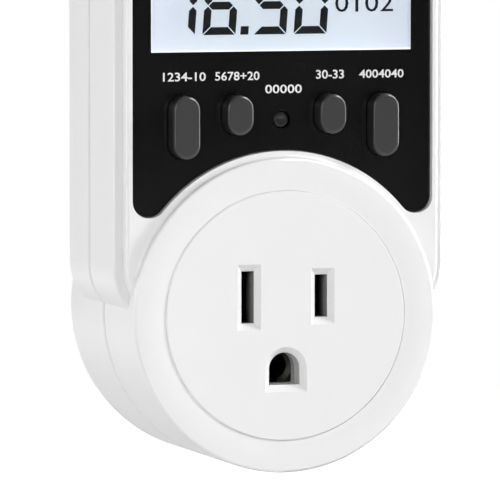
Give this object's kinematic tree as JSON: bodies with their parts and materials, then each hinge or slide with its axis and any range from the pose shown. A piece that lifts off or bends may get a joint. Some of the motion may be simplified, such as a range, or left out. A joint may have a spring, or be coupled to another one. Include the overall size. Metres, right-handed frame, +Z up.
{
  "type": "plug-in energy monitor",
  "caption": "Plug-in electricity meter: a display body with press keys above a round pass-through outlet, with a grounded plug on its back.",
  "frame": {"origin": "middle of the round boss's flat face that stands against the wall, on the outlet's axis", "axes": "+Y into the wall, along the plug's blades; -Y towards the user; +Z up, along the display body; +X to the user's right"},
  "size_m": [0.057, 0.0592, 0.1225],
  "materials": {
    "white_shell": "satin moulded white",
    "white_face": "satin moulded white",
    "black_panel": "glossy black",
    "clear_window": "clear polished",
    "grey_key": "satin dark grey",
    "black_button": "satin near black",
    "plunger": "matte black",
    "switch": "matte black",
    "display_glass": "pale polarised",
    "light_guide": "frosted clear",
    "frame_plastic": "matte white",
    "lamp": "milky",
    "rubber_strip": "matte",
    "board": "green lacquer",
    "chip": "matte black",
    "can": "drawn tin",
    "film_capacitor": "yellow case",
    "foil_sleeve": "dark sleeve",
    "disc_ceramic": "dipped blue",
    "fuse_case": "black case",
    "battery_sleeve": "green sleeve",
    "shunt_metal": "bare alloy",
    "header_plastic": "black",
    "contact_brass": "dull brass",
    "plug_brass": "nickel plated brass",
    "block_plastic": "matte off-white",
    "screw_steel": "zinc plated",
    "plate": "bare foil plate"
  },
  "bodies": {
    "casing": {"backlight_guide": "light_guide", "backlight_leds": "lamp", "backup_battery": "battery_sleeve", "blade_carrier": "block_plastic", "casing_screws": "screw_steel", "contact_carrier": "block_plastic", "contact_strip": "rubber_strip", "crystal": "can", "display_board": "board", "display_panel": "black_panel", "front_shell": "white_shell", "fuse": "fuse_case", "ground_contact": "contact_brass", "ground_pin": "plug_brass", "ground_strap": "contact_brass", "inner_screws": "screw_steel", "lcd_frame": "frame_plastic", "lcd_glass": "display_glass", "lcd_window": "clear_window", "line_blade": "plug_brass", "line_contact": "contact_brass", "link_header": "header_plastic", "link_socket": "header_plastic", "mcu_chip": "chip", "meter_board": "board", "meter_chip": "chip", "neutral_blade": "plug_brass", "neutral_contact": "contact_brass", "rating_label": "plate", "rear_shell": "white_shell", "rectifier_diodes": "chip", "resistors": "chip", "shunt": "shunt_metal", "smoothing_capacitor": "foil_sleeve", "socket_insert": "white_face", "switch_bodies": "switch", "varistor": "disc_ceramic", "x_capacitor": "film_capacitor"},
    "key_left_outer": {"key_left_outer": "grey_key", "plunger_left_outer": "plunger"},
    "key_left_inner": {"key_left_inner": "grey_key", "plunger_left_inner": "plunger"},
    "key_right_inner": {"key_right_inner": "grey_key", "plunger_right_inner": "plunger"},
    "key_right_outer": {"key_right_outer": "grey_key", "plunger_right_outer": "plunger"},
    "reset_button": {"reset_button": "black_button", "plunger_reset": "plunger"}
  },
  "joints": [
    {"name": "key_left_outer_press", "type": "slide", "parent": "casing", "child": "key_left_outer", "axis": [0, 1, 0], "range_m": [0, 0.0005], "stiffness_N_per_m": 2400, "springref_m": -0.0004},
    {"name": "key_left_inner_press", "type": "slide", "parent": "casing", "child": "key_left_inner", "axis": [0, 1, 0], "range_m": [0, 0.0005], "stiffness_N_per_m": 2400, "springref_m": -0.0004},
    {"name": "key_right_inner_press", "type": "slide", "parent": "casing", "child": "key_right_inner", "axis": [0, 1, 0], "range_m": [0, 0.0005], "stiffness_N_per_m": 2400, "springref_m": -0.0004},
    {"name": "key_right_outer_press", "type": "slide", "parent": "casing", "child": "key_right_outer", "axis": [0, 1, 0], "range_m": [0, 0.0005], "stiffness_N_per_m": 2400, "springref_m": -0.0004},
    {"name": "reset_button_press", "type": "slide", "parent": "casing", "child": "reset_button", "axis": [0, 1, 0], "range_m": [0, 0.0005], "stiffness_N_per_m": 2400, "springref_m": -0.0004}
  ]
}
